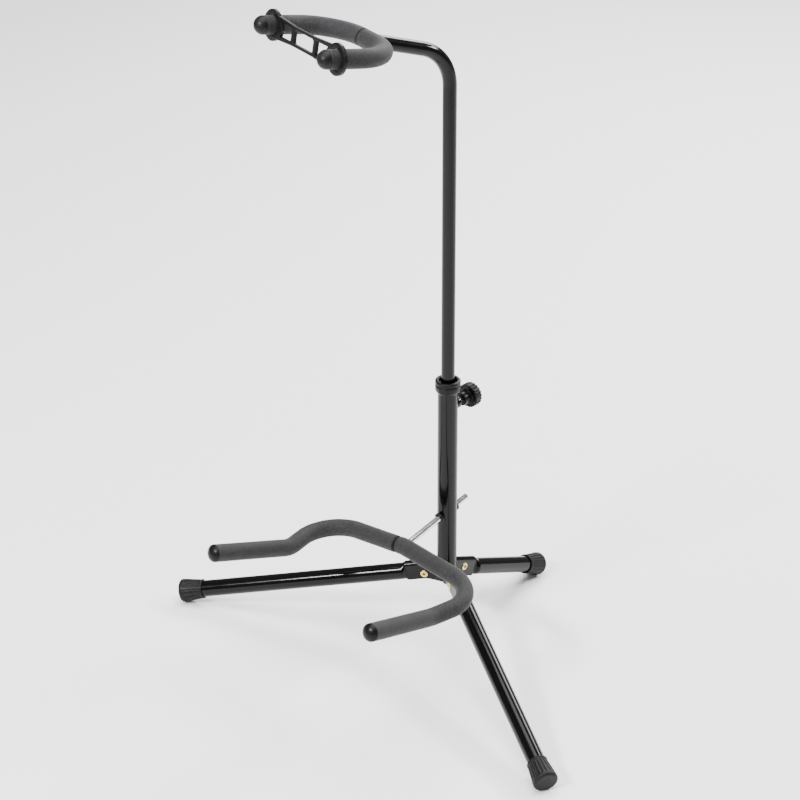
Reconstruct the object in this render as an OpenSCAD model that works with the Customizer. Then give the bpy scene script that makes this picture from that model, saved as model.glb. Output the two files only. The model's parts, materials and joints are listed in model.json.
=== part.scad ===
// Folding tripod guitar stand with a height slide, a neck yoke and a foam-covered cradle.
// Millimetres, +Z up, -Y is the front, where the cradle and the yoke point.
// The origin is on the floor, under the middle of the stand's own box.

/* [Upright] */
// Outside diameter of the lower tube
tube_d = 25.4; // [22:0.1:32]
// Wall of the lower tube
tube_wall = 1.2; // [0.8:0.1:1.6]
// Height of the lower tube's bottom end
tube_foot_z = 112; // [106:1:150]
// Height of the lower tube's top end
tube_top_z = 362; // [330:1:440]
// Outside diameter of the upper tube
mast_d = 17; // [14:0.1:17.6]
// Wall of the upper tube
mast_wall = 1.2; // [0.8:0.1:1.6]
// Height of the upper tube's bottom end
mast_foot_z = 290; // [250:1:300]
// Height of the corner of the gooseneck bend
neck_corner_z = 794; // [650:1:960]
// Centreline radius of the gooseneck bend
neck_bend_r = 55; // [40:1:70]
// Angle that the head is turned to, seen from above
head_turn = -15; // [-90:1:90]

/* [Legs] */
// Outside diameter of a leg tube
leg_d = 22; // [19:0.1:25]
// Wall of a leg tube
leg_wall = 1.2; // [0.8:0.1:1.6]
// Height at which the leg centrelines meet on the upright's axis
leg_meet_z = 98; // [92:1:110]
// Distance from the upright's axis to the end of a front foot
front_reach = 360; // [290:1:440]
// Distance from the upright's axis to the end of the rear foot
rear_reach = 190; // [158:1:300]
// Angle from the front to each front leg
leg_spread = 60; // [50:1:70]
// Width of the channel that a leg's inner end is squeezed to
channel_w = 12; // [11:0.1:16]
// Height of that channel
channel_h = 25; // [24:0.5:32]
// Distance along the leg at which the channel ends
channel_end = 52; // [46:1:70]
// Length of the change from channel to round tube
squeeze_l = 8; // [6:1:20]

/* [Hub] */
// Distance from the upright's axis to a leg rivet
rivet_r = 28.5; // [28:0.5:34]
// Height of the leg rivets
rivet_z = 87.5; // [83:0.5:90]
// Diameter of a rivet's shank
rivet_d = 6; // [4:0.1:8]
// Diameter of a rivet's rolled head
rivet_head_d = 10; // [8:0.1:14]
// Thickness of a hub flange
flange_t = 3; // [2:0.1:4]

/* [Feet] */
// Largest diameter of a foot
foot_d = 31; // [28:0.5:38]
// Length of a foot
foot_l = 32; // [26:0.5:45]
// Rubber past the end of the leg tube
foot_floor = 6; // [4:0.5:10]
// Number of grooves round a foot
foot_flutes = 18; // [10:1:24]

/* [Cradle] */
// Diameter of the chrome stem
stem_d = 8; // [6:0.1:9]
// Height of the stem where it crosses the upright's axis
stem_z = 181; // [170:1:230]
// Slope of the stem, down to the front
stem_tilt = 9.8; // [0:0.1:12]
// Distance from the upright's axis to the cradle bar
cradle_y = 82; // [65:1:110]
// Length of stem behind the upright's axis
stem_tail = 37; // [25:1:60]
// Half of the width over the cradle bar's corners
cradle_half_w = 134; // [110:1:160]
// Drop of the cradle bar from its middle to its corners
cradle_drop = 14; // [0:1:24]
// Half of the width at the bend where the arms turn up
arm_bend_half_w = 119; // [95:1:140]
// Length of cradle from the bar to the bend where the arms turn up
arm_bend_y = 84; // [70:1:110]
// Half of the width over the arm tips
tip_half_w = 130; // [100:1:160]
// Length of cradle from the bar to the arm tips
tip_y = 204; // [170:1:260]
// Rise of the arm tips over the bend
tip_rise = 43; // [20:1:70]
// Centreline radius of the cradle bends
cradle_bend_r = 46; // [32:1:50]
// Outside diameter of the cradle foam
cradle_foam_d = 22; // [18:0.5:28]

/* [Yoke] */
// Diameter of the wire inside the yoke and the cradle
wire_d = 8; // [6:0.1:9]
// Distance from the upright's axis to the back of the yoke
yoke_y = 110; // [90:1:140]
// Rise of the gooseneck from its corner to the back of the yoke
neck_rise = 36; // [0:1:60]
// Half of the width over the arm centrelines
yoke_half_w = 68; // [68:1:85]
// Centreline radius of the yoke bends
yoke_bend_r = 54; // [40:1:54]
// Length of the yoke's arms from the back of the yoke
yoke_arm_l = 98; // [90:1:130]
// Slope of the arms, up to the front
yoke_tilt = 10; // [0:0.5:20]
// Outside diameter of the yoke foam
yoke_foam_d = 22; // [18:0.5:26]

/* [Strap] */
// Outside diameter of the strap's rings
ring_d = 36; // [32:0.5:42]
// Thickness of the strap
strap_t = 4.5; // [3:0.1:6]
// Half of the strap's height between the rings
strap_half_h = 13; // [11:0.5:16]
// Width of the strap's rails
rail_w = 5; // [3:0.1:6]
// Distance from the ends of the foam back to the strap
strap_back = 14; // [8:0.5:20]

/* [Clamp] */
// Height of the clamp screw
clamp_z = 333; // [320:0.5:340]
// Diameter of the clamp screw
screw_d = 8; // [6:0.1:9]
// Diameter of the knob
knob_d = 31; // [26:0.5:38]
// Thickness of the knob's rim
knob_t = 12.5; // [10:0.5:18]
// Distance from the upright's axis to the knob's inner face
knob_y = 37; // [34:0.5:44]
// Number of grooves round the knob
knob_flutes = 20; // [12:1:24]

/* [Hidden] */
$fn = 64;

// Clearances
run_gap = 0.06;    // radial gap of a part that turns or slides in another
face_gap = 0.1;    // gap between flat faces on parts that move
soft_gap = 0.5;    // radial gap between the strap's rings and the foam
cut = 1;           // how far a cutting shape runs past what it cuts
seam = 0.003;      // gap between a bent bar's straights and its bends
core_l = 1.5;      // how far the core of such a seam runs each way
core_inset = 0.2;  // how much thinner that core is than the bar

tube_r = tube_d / 2;
tube_bore_r = tube_r - tube_wall;
mast_r = mast_d / 2;

// Hub
cup_h = 14;                      // length of hub below the lower tube
cup_z = tube_foot_z - cup_h;
core_r = 5;
core_z = rivet_z - 13;
ear_r = 9;                       // radius of a flange round its rivet
spigot_h = 18;                   // length of hub inside the lower tube
spacer_wall = 2;
head_t = 1.2;                    // thickness of a rivet's head
rivet_bore = rivet_d - 2;        // a rivet is hollow
channel_r = channel_w / 2;
channel_rise = 1.5;              // how far the channel's middle is over the leg's centreline
channel_top = channel_h / 2 + channel_rise;
channel_bottom = channel_h / 2 - channel_rise;

// Leg angles: the foot's rounded lower edge rests on the floor at any reach
foot_edge_r = 3;
function foot_axis_z(drop) =
    foot_edge_r * (1 - sin(drop)) + (foot_d / 2 - foot_edge_r) * cos(drop);
function leg_drop(reach, tries = 6, drop = 12) =
    tries == 0 ? drop
    : leg_drop(reach, tries - 1, atan((leg_meet_z - foot_axis_z(drop)) / reach));
front_drop = leg_drop(front_reach);
rear_drop = leg_drop(rear_reach);
front_l = front_reach / cos(front_drop);
rear_l = rear_reach / cos(rear_drop);
LEFT = -90 - leg_spread;
RIGHT = -90 + leg_spread;
REAR = 90;

// Cradle
bar_z = stem_z - cradle_y * tan(stem_tilt);
corner_z = bar_z - cradle_drop;
arm_bend_z = corner_z + 2.5;
cradle_path = [
    [-tip_half_w, -cradle_y - tip_y, arm_bend_z + tip_rise],
    [-arm_bend_half_w, -cradle_y - arm_bend_y, arm_bend_z],
    [-cradle_half_w, -cradle_y, corner_z],
    [0, -cradle_y, bar_z],
    [cradle_half_w, -cradle_y, corner_z],
    [arm_bend_half_w, -cradle_y - arm_bend_y, arm_bend_z],
    [tip_half_w, -cradle_y - tip_y, arm_bend_z + tip_rise]];
cradle_bends = [cradle_bend_r, cradle_bend_r, 60, cradle_bend_r, cradle_bend_r];
foam_split = 4;                  // gap between the two sleeves of a foam pair
foam_lap = 8;                    // how far the right sleeve runs past the middle
cap_t = 5;
cap_hole = 3;                    // how far a wire runs into its cap
sleeve_wall = 1.5;               // wall of a grommet's sleeve
grommet_lip = 2;

// Yoke, in the head's own frame
yoke_z = neck_corner_z + neck_rise;
yoke_tip = [yoke_half_w, -yoke_y - yoke_arm_l * cos(yoke_tilt), yoke_z + yoke_arm_l * sin(yoke_tilt)];
yoke_path = [
    [-yoke_tip.x, yoke_tip.y, yoke_tip.z],
    [-yoke_half_w, -yoke_y, yoke_z],
    [yoke_half_w, -yoke_y, yoke_z],
    yoke_tip];
arm_dir = [0, -cos(yoke_tilt), sin(yoke_tilt)];
neck_end = [0, -yoke_y, yoke_z];
neck_path = [[0, 0, mast_foot_z], [0, 0, neck_corner_z], neck_end];

// Collar, bush and clamp
lip_d = tube_d + 6.6;            // outside diameter of the collar's lip
mouth_d = mast_d + 6;            // opening of the collar's lip
collar_h = 17;                   // length of collar outside the tube
collar_rise = 9;                 // length of collar above the tube
insert_l = 19;                   // length of collar inside the tube
bush_l = 24;
bush_floor = 2;
boss_d = 16;
boss_l = 4.8;                    // length of the boss outside the tube
boss_y = tube_r + boss_l;
screw_hole_d = screw_d + 2 * run_gap;
pad_t = tube_bore_r - mast_r;    // the pad fills the space between the tubes
knob_hub_d = 17;
knob_hub_y = boss_y + 7.5;        // the knob's hub stays off the boss
pad_y = mast_r + face_gap;
screw_tip_y = pad_y + pad_t + face_gap / 2;

// Offset that puts the origin under the middle of the stand's box
front_edge = -cradle_y - tip_y - cap_t - cradle_foam_d / 4;
back_edge = rear_reach + foot_d / 2 * sin(rear_drop) - foot_edge_r / 2;
box_shift = -(front_edge + back_edge) / 2;

// ---------- shapes that repeat ----------

function unit(v) = v / norm(v);
function turn_at(a, b, c) = acos(unit(b - a) * unit(c - b));
function cut_at(a, b, c, r) = r * tan(turn_at(a, b, c) / 2);

// A round bar from p to q
module bar(p, q, d) {
    v = q - p;
    translate(p)
        rotate([0, acos(v.z / norm(v)), atan2(v.y, v.x)])
            cylinder(h = norm(v), d = d);
}

// The bend of a round bar at b, between the straights from a and to c
module bend(a, b, c, r, d) {
    u = unit(b - a);
    n = unit(cross(u, unit(c - b)));
    m = cross(n, u);
    o = b - u * cut_at(a, b, c, r) + m * r;
    multmatrix([[-m.x, u.x, n.x, o.x],
                [-m.y, u.y, n.y, o.y],
                [-m.z, u.z, n.z, o.z],
                [0, 0, 0, 1]])
        rotate_extrude(angle = turn_at(a, b, c))
            translate([r, 0])
                circle(d = d);
}

// A bent round bar along a path, with a radius for each inner point, made longer or
// shorter at both ends by grow. A short core runs through each seam between a straight
// and a bend, so that they are one solid.
module bent_bar(path, radii, d, grow = 0) {
    last = len(path) - 1;
    for (i = [0:last - 1]) {
        u = unit(path[i + 1] - path[i]);
        from = i == 0 ? path[0] - u * grow
             : path[i] + u * (cut_at(path[i - 1], path[i], path[i + 1], radii[i - 1]) + seam);
        to = i == last - 1 ? path[last] + u * grow
           : path[i + 1] - u * (cut_at(path[i], path[i + 1], path[i + 2], radii[i]) + seam);
        bar(from, to, d);
        if (i > 0)
            bar(from - u * core_l, from + u * core_l, d - core_inset);
        if (i < last - 1)
            bar(to - u * core_l, to + u * core_l, d - core_inset);
    }
    for (i = [1:last - 1])
        bend(path[i - 1], path[i], path[i + 1], radii[i - 1], d);
}

// Puts a shape's +Z along dir at p
module aim(p, dir) {
    translate(p)
        rotate([0, acos(dir.z / norm(dir)), atan2(dir.y, dir.x)])
            children();
}

// Puts a shape in the stand's frame
module placed() {
    translate([0, box_shift, 0])
        children();
}

// Puts a shape in the frame of the turned head
module on_head() {
    placed()
        rotate([0, 0, head_turn])
            children();
}

// Puts a leg, drawn along +X, at its place
module on_leg(side, drop) {
    placed()
        rotate([0, 0, side])
            translate([0, 0, leg_meet_z])
                rotate([0, drop, 0])
                    children();
}

// Puts a shape, drawn along +Z, on the rivet's axis of one leg
module on_rivet(side) {
    placed()
        rotate([0, 0, side])
            translate([rivet_r, 0, rivet_z])
                rotate([90, 0, 0])
                    children();
}

// Puts a shape, drawn along +Z, on the clamp screw's axis, facing back
module on_clamp() {
    placed()
        translate([0, 0, clamp_z])
            rotate([-90, 0, 0])
                children();
}

// Puts a shape, drawn along +Z, on the stem's axis, facing the cradle
module on_stem() {
    placed()
        aim([0, 0, stem_z], [0, -cos(stem_tilt), -sin(stem_tilt)])
            children();
}

// ---------- upright and hub ----------

module lower_tube() {
    color("#1c1c1e")
    difference() {
        placed()
            translate([0, 0, tube_foot_z])
                difference() {
                    cylinder(h = tube_top_z - tube_foot_z, r = tube_r);
                    translate([0, 0, -cut])
                        cylinder(h = tube_top_z - tube_foot_z + 2 * cut, r = tube_bore_r);
                }
        on_clamp()
            cylinder(h = tube_r + cut, d = screw_hole_d);
        on_stem()
            translate([0, 0, -tube_d])
                cylinder(h = 2 * tube_d, d = stem_d + 2 * sleeve_wall + 4 * run_gap);
    }
}

// One flange of the hub, drawn in the plane of its leg
module hub_ear() {
    rotate([90, 0, 0])
        translate([0, 0, -flange_t / 2])
            linear_extrude(flange_t) {
                translate([rivet_r, rivet_z])
                    circle(r = ear_r);
                polygon([[0, core_z], [rivet_r, rivet_z - ear_r],
                         [rivet_r, rivet_z + ear_r], [0, rivet_z + ear_r + 7]]);
            }
}

module hub_bracket() {
    color("#202022")
    difference() {
        placed() {
            translate([0, 0, cup_z])
                cylinder(h = cup_h, r = tube_r);
            translate([0, 0, tube_foot_z - cut])
                cylinder(h = spigot_h + cut, r = tube_bore_r);
            translate([0, 0, core_z])
                cylinder(h = cup_z - core_z + cut, r = core_r);
            for (side = [LEFT, RIGHT, REAR])
                rotate([0, 0, side])
                    hub_ear();
        }
        for (side = [LEFT, RIGHT, REAR])
            on_rivet(side)
                cylinder(h = 2 * flange_t, d = rivet_d + 2 * run_gap, center = true);
    }
}

// A hollow rivet with a rolled head at both ends
module rivet(side) {
    color("#c9a24b")
    on_rivet(side)
        difference() {
            union() {
                cylinder(h = channel_w + 2 * face_gap, d = rivet_d, center = true);
                for (end = [0, 1])
                    mirror([0, 0, end])
                        translate([0, 0, channel_r + face_gap]) {
                            cylinder(h = head_t / 2, d = rivet_head_d);
                            translate([0, 0, head_t / 2])
                                cylinder(h = head_t / 2, d1 = rivet_head_d, d2 = rivet_head_d - 2);
                        }
            }
            cylinder(h = channel_w + 4 * head_t, d = rivet_bore, center = true);
        }
}

module rivet_spacers() {
    spacer_h = channel_r - leg_wall - flange_t / 2 - face_gap;
    color("#8d8f94")
    for (side = [LEFT, RIGHT, REAR])
        on_rivet(side)
            for (end = [0, 1])
                mirror([0, 0, end])
                    translate([0, 0, flange_t / 2])
                        difference() {
                            cylinder(h = spacer_h, d = rivet_d + 2 * spacer_wall);
                            translate([0, 0, -cut])
                                cylinder(h = spacer_h + 2 * cut, d = rivet_d + 2 * run_gap);
                        }
}

// ---------- legs ----------

// The squeezed end in section: a round top, straight sides, inset by wall
module channel_section(wall, bottom) {
    translate([0, channel_top - channel_r])
        circle(r = channel_r - wall);
    translate([-channel_r + wall, -bottom])
        square([channel_w - 2 * wall, bottom + channel_top - channel_r]);
}

module leg_section(x, l) {
    translate([x, 0, 0])
        rotate([90, 0, 90])
            linear_extrude(l)
                children();
}

// The change from channel to tube, inset by wall
module leg_squeeze(wall, over) {
    hull() {
        leg_section(channel_end - over, 0.1 + over)
            channel_section(wall, channel_bottom - wall, $fn = 32);
        leg_section(channel_end + squeeze_l - 0.1, 0.1 + over)
            circle(d = leg_d - 2 * wall, $fn = 32);
    }
}

module leg(side, drop, l) {
    tube_from = channel_end + squeeze_l;
    tube_l = l - foot_floor - tube_from;
    color("#1c1c1e")
    difference() {
        on_leg(side, drop)
            difference() {
                union() {
                    leg_section(0, channel_end)
                        channel_section(0, channel_bottom);
                    leg_squeeze(0, 0);
                    leg_section(tube_from, tube_l)
                        circle(d = leg_d);
                }
                leg_section(-cut, channel_end + cut)
                    channel_section(leg_wall, channel_h);
                leg_squeeze(leg_wall, 0.05);
                leg_section(tube_from, tube_l + cut)
                    circle(d = leg_d - 2 * leg_wall);
            }
        placed()
            cylinder(h = 2 * leg_meet_z, r = tube_r + 3 * face_gap);
        on_rivet(side)
            cylinder(h = 2 * channel_w, d = rivet_d + 2 * run_gap, center = true);
    }
}

// A rubber foot: a lip ring, a grooved body that widens, and a round edge
module foot(side, drop, l) {
    r = foot_d / 2;
    lip_r = r - 2.5;
    lip_l = 1.6;
    neck_r = r - 2.9;
    neck_z = 2;
    wide_z = foot_l - 5;
    flute_r = 1.6;
    flute_depth = 0.8;
    flute_from = 3;
    flute_to = foot_l - 6;
    flare = atan((r - neck_r) / (wide_z - neck_z));
    profile = concat(
        [[0, 0], [lip_r, 0], [lip_r, lip_l], [neck_r, neck_z], [r, wide_z]],
        [for (a = [0:15:90])
            [r - foot_edge_r * (1 - cos(a)), foot_l - foot_edge_r * (1 - sin(a))]],
        [[0, foot_l]]);
    color("#141414")
    on_leg(side, drop)
        translate([l - foot_l, 0, 0])
            rotate([0, 90, 0])
                difference() {
                    rotate_extrude()
                        polygon(profile);
                    translate([0, 0, -cut])
                        cylinder(h = foot_l - foot_floor + cut, d = leg_d);
                    for (i = [0:foot_flutes - 1])
                        rotate([0, 0, i * 360 / foot_flutes])
                            translate([neck_r + flute_r - flute_depth, 0, flute_from])
                                rotate([0, flare, 0])
                                    cylinder(h = flute_to - flute_from, r = flute_r);
                }
}

// ---------- collar and clamp ----------

module height_collar() {
    color("#17171a")
    placed()
        translate([0, 0, tube_top_z])
            difference() {
                rotate_extrude()
                    difference() {
                        polygon([[tube_bore_r, -insert_l], [tube_bore_r, 0], [tube_r, 0],
                                 [tube_r, collar_rise - collar_h], [lip_d / 2 - 2.5, collar_rise - collar_h],
                                 [lip_d / 2, collar_rise - collar_h + 4], [lip_d / 2, collar_rise - 6.5],
                                 [lip_d / 2 - 1, collar_rise - 6], [lip_d / 2 - 1, collar_rise - 5],
                                 [lip_d / 2, collar_rise - 4.5], [lip_d / 2, collar_rise - 1],
                                 [lip_d / 2 - 1, collar_rise], [mouth_d / 2 + 0.5, collar_rise],
                                 [mouth_d / 2, collar_rise - 0.5], [mouth_d / 2, 3],
                                 [mast_r + run_gap, 1], [mast_r + run_gap, -insert_l]]);
                    }
                // a slot in the insert, where the clamp pad passes it
                translate([0, tube_bore_r, clamp_z - tube_top_z])
                    rotate([90, 0, 0])
                        cylinder(h = tube_bore_r, d = screw_hole_d + 1, center = true);
            }
}

module clamp_boss() {
    color("#202022")
    difference() {
        on_clamp()
            cylinder(h = boss_y, d = boss_d);
        placed()
            translate([0, 0, clamp_z - boss_d])
                cylinder(h = 2 * boss_d, r = tube_r);
        on_clamp()
            cylinder(h = boss_y + cut, d = screw_hole_d);
    }
}

module clamp_screw() {
    color("#c8cacf")
    on_clamp()
        translate([0, 0, screw_tip_y])
            cylinder(h = knob_y + knob_t - 3 - screw_tip_y, d = screw_d);
}

module clamp_pad() {
    color("#e6e2d6")
    on_clamp()
        translate([0, 0, pad_y])
            cylinder(h = pad_t, d = screw_d);
}

module clamp_knob() {
    color("#17171a")
    on_clamp()
        difference() {
            union() {
                translate([0, 0, knob_hub_y])
                    cylinder(h = knob_y - knob_hub_y + cut, d = knob_hub_d);
                translate([0, 0, knob_y])
                    rotate_extrude()
                        polygon([[0, 0], [knob_d / 2 - 1, 0], [knob_d / 2, 1],
                                 [knob_d / 2, knob_t - 2.5], [knob_d / 2 - 2, knob_t - 0.5],
                                 [knob_d / 2 - 4, knob_t], [0, knob_t]]);
            }
            cylinder(h = knob_y + knob_t - 3, d = screw_d);
            for (i = [0:knob_flutes - 1])
                rotate([0, 0, i * 360 / knob_flutes])
                    translate([knob_d / 2 + 0.5, 0, knob_y - cut])
                        cylinder(h = knob_t + 2 * cut, r = 1.7);
        }
}

// ---------- cradle ----------

// A flanged sleeve in the lower tube's wall, which grips the stem
module grommet(front) {
    r = stem_d / 2 + sleeve_wall + run_gap;
    color("#17171a")
    on_stem()
        mirror([0, 0, front ? 0 : 1])
            difference() {
                union() {
                    translate([0, 0, tube_bore_r - 1])
                        cylinder(h = tube_wall + 4, r = r);
                    translate([0, 0, tube_r + 1.5])
                        cylinder(h = grommet_lip, r = r + 1.2);
                }
                cylinder(h = 2 * tube_r, d = stem_d + 2 * run_gap);
            }
}

module cradle_stem() {
    color("#d7d9dd")
    difference() {
        on_stem()
            translate([0, 0, -stem_tail / cos(stem_tilt)])
                cylinder(h = (stem_tail + cradle_y) / cos(stem_tilt), d = stem_d);
        cradle_wire();
    }
}

module cradle_wire(d = wire_d, grow = 0) {
    placed()
        bent_bar(cradle_path, cradle_bends, d, grow);
}

module cradle_rod() {
    color("#202022")
    cradle_wire(grow = cap_hole);
}

// One foam sleeve of a pair: the part of a bent tube at one side of a cut at x
module foam_side(left, x, reach) {
    translate([left ? x - reach : x, -reach, 0])
        cube([reach, 2 * reach, 4 * reach]);
}

module cradle_foam(left) {
    color("#232427")
    difference() {
        intersection() {
            cradle_wire(cradle_foam_d);
            foam_side(left, left ? -foam_lap - foam_split : -foam_lap, 2 * cradle_half_w);
        }
        cradle_wire(wire_d, cut);
        on_stem()
            cylinder(h = 2 * cradle_y, d = stem_d);
    }
}

// A domed plug at the end of a wire, drawn along +Z
module end_cap(d, dome) {
    r = d / 2;
    difference() {
        intersection() {
            translate([0, 0, dome - (r * r + dome * dome) / (2 * dome)])
                sphere(r = (r * r + dome * dome) / (2 * dome));
            cylinder(h = dome, r = r);
        }
        translate([0, 0, -cut])
            cylinder(h = cap_hole + cut, d = wire_d);
    }
}

module cradle_cap(left) {
    tip = left ? cradle_path[0] : cradle_path[6];
    before = left ? cradle_path[1] : cradle_path[5];
    color("#1a1a1c")
    placed()
        aim(tip, tip - before)
            end_cap(cradle_foam_d - 0.5, cap_t);
}

// ---------- upper tube, yoke and strap ----------

module guide_bush() {
    color("#e8e4da")
    placed()
        translate([0, 0, mast_foot_z - bush_floor - face_gap])
            difference() {
                cylinder(h = bush_l, r = tube_bore_r - run_gap);
                translate([0, 0, bush_floor])
                    cylinder(h = bush_l, r = mast_r + run_gap);
                translate([0, 0, -cut])
                    cylinder(h = bush_l, r = mast_r - 2 * mast_wall);
            }
}

module neck(d, grow = 0) {
    bent_bar(neck_path, [neck_bend_r], d, grow);
}

module upper_tube() {
    color("#1c1c1e")
    on_head()
        difference() {
            neck(mast_d);
            neck(mast_d - 2 * mast_wall, cut);
            yoke_wire(wire_d);
        }
}

module yoke_wire(d, grow = 0) {
    bent_bar(yoke_path, [yoke_bend_r, yoke_bend_r], d, grow);
}

module yoke_rod() {
    color("#202022")
    on_head()
        yoke_wire(wire_d, cap_hole);
}

module yoke_foam(left) {
    color("#232427")
    on_head()
        difference() {
            intersection() {
                yoke_wire(yoke_foam_d);
                foam_side(left, left ? -mast_r - 3 : -mast_r - 1, 4 * yoke_half_w);
            }
            yoke_wire(wire_d, cut);
            bar(neck_path[1], neck_end, mast_d);
        }
}

module yoke_cap(left) {
    tip = left ? yoke_path[0] : yoke_path[3];
    color("#141414")
    on_head()
        aim(tip, arm_dir)
            end_cap(yoke_foam_d, yoke_foam_d / 2 - 0.5);
}

// The strap in its own plane: x across the arms, y up
module strap_outline() {
    ring_r = ring_d / 2;
    waist = 2;
    inner_h = strap_half_h - rail_w;
    open_half = 20;
    bar_w = 6;
    difference() {
        union() {
            for (side = [-1, 1])
                translate([side * yoke_half_w, 0])
                    circle(r = ring_r);
            polygon([[-yoke_half_w, -strap_half_h - 1], [-open_half, -strap_half_h + waist],
                     [open_half, -strap_half_h + waist], [yoke_half_w, -strap_half_h - 1],
                     [yoke_half_w, strap_half_h + 1], [open_half, strap_half_h - waist],
                     [-open_half, strap_half_h - waist], [-yoke_half_w, strap_half_h + 1]]);
        }
        for (side = [-1, 1])
            translate([side * yoke_half_w, 0])
                circle(r = yoke_foam_d / 2 + soft_gap);
        for (sx = [-1, 1], sy = [-1, 1])
            translate([sx * (open_half - 3), sy * (inner_h - 3)])
                circle(r = 3);
        square([2 * open_half - 6, 2 * inner_h], center = true);
        square([2 * open_half, 2 * inner_h - 6], center = true);
        for (side = [-1, 1])
            polygon([[side * (open_half + bar_w), inner_h],
                     [side * (yoke_half_w - ring_r - 1), inner_h + 0.5],
                     [side * (yoke_half_w - ring_r - 5), 0],
                     [side * (yoke_half_w - ring_r - 1), -inner_h - 0.5],
                     [side * (open_half + bar_w), -inner_h]]);
    }
}

module neck_strap() {
    color("#161617")
    on_head()
        translate([0, yoke_tip.y, yoke_tip.z] - arm_dir * strap_back)
            rotate([90 - yoke_tilt, 0, 0])
                translate([0, 0, -strap_t / 2])
                    linear_extrude(strap_t)
                        strap_outline();
}

// ---------- nodes ----------

lower_tube();
hub_bracket();
rivet(LEFT);  // rivet_left
rivet(RIGHT);  // rivet_right
rivet(REAR);  // rivet_rear
rivet_spacers();
leg(LEFT, front_drop, front_l);  // leg_left
leg(RIGHT, front_drop, front_l);  // leg_right
leg(REAR, rear_drop, rear_l);  // leg_rear
foot(LEFT, front_drop, front_l);  // foot_left
foot(RIGHT, front_drop, front_l);  // foot_right
foot(REAR, rear_drop, rear_l);  // foot_rear
height_collar();
clamp_boss();
clamp_screw();
clamp_knob();
clamp_pad();
grommet(true);  // front_grommet
grommet(false);  // rear_grommet
cradle_stem();
cradle_rod();
cradle_foam(true);  // cradle_foam_left
cradle_foam(false);  // cradle_foam_right
cradle_cap(true);  // cradle_cap_left
cradle_cap(false);  // cradle_cap_right
guide_bush();
upper_tube();
yoke_rod();
yoke_foam(true);  // yoke_foam_left
yoke_foam(false);  // yoke_foam_right
yoke_cap(true);  // yoke_cap_left
yoke_cap(false);  // yoke_cap_right
neck_strap();
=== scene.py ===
"""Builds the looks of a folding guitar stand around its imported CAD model."""

import json
import math

import bmesh
import bpy
from mathutils import Matrix, Vector

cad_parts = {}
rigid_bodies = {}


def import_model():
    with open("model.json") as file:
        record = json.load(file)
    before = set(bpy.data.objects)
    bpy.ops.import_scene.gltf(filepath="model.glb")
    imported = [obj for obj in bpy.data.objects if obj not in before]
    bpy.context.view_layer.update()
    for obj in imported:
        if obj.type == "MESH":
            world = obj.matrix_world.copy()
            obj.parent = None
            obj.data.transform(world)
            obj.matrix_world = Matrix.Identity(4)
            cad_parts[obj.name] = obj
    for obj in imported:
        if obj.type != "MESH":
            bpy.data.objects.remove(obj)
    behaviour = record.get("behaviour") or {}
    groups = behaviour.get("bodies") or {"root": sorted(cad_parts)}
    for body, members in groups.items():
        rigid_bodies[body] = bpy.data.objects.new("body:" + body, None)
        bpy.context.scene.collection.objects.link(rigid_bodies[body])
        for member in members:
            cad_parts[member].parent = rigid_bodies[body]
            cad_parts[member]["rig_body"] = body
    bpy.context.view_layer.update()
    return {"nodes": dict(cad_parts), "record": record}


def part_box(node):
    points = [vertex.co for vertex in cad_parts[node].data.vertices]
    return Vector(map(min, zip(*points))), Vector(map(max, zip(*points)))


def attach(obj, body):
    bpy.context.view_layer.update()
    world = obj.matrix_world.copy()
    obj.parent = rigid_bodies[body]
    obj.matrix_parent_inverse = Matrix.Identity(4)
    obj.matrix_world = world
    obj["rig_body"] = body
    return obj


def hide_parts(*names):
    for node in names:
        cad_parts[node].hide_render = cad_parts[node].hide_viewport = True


bl_info = {
    "name": "Folding Guitar Stand",
    "version": (1, 0, 0),
    "blender": (4, 5, 0),
    "location": "View3D > Sidebar > Guitar Stand",
    "description": "Builds the detailed pieces, materials and stage of a folding guitar stand",
    "category": "Add Mesh",
}

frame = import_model()
NODES = frame["nodes"]
MM = 0.001

# The design values of the CAD model, in millimetres and degrees
LEG_D, LEG_WALL, LEG_MEET_Z = 22.0, 1.2, 98.0
FRONT_REACH, REAR_REACH = 360.0, 190.0
SIDES = {"left": -150.0, "right": -30.0, "rear": 90.0}
CHANNEL_W, CHANNEL_H, CHANNEL_RISE, CHANNEL_END, SQUEEZE_L = 12.0, 25.0, 1.5, 52.0, 8.0
HUB_CLEAR_R = 13.0
RIVET_R, RIVET_Z, RIVET_HOLE_R = 28.5, 87.5, 3.06
FOOT_D, FOOT_L, FOOT_FLOOR, FOOT_EDGE, FOOT_FLUTES = 31.0, 32.0, 6.0, 3.0, 18
CRADLE = [(-130, -286, 198.3), (-119, -166, 155.3), (-134, -82, 152.8), (0, -82, 166.8),
          (134, -82, 152.8), (119, -166, 155.3), (130, -286, 198.3)]
CRADLE_BEND_R, CRADLE_FOAM_D = 46.0, 22.0
YOKE_Y, YOKE_Z, YOKE_HALF_W = 110.0, 830.0, 68.0
YOKE_ARM_L, YOKE_TILT, YOKE_BEND_R, YOKE_FOAM_D = 98.0, 10.0, 54.0, 22.0
HEAD_TURN = -15.0
CLAMP_Z, SCREW_D = 333.0, 8.0
KNOB_D, KNOB_T, KNOB_Y, KNOB_FLUTES = 31.0, 12.5, 37.0, 20
KNOB_HUB_R, KNOB_HUB_START, KNOB_HUB_STEP = 8.5, 25.0, 29.0
# Where each foam sleeve ends, beside the gap near the middle
CRADLE_GAP, YOKE_GAP = (-12.0, -8.0), (-11.5, -9.5)

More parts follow.
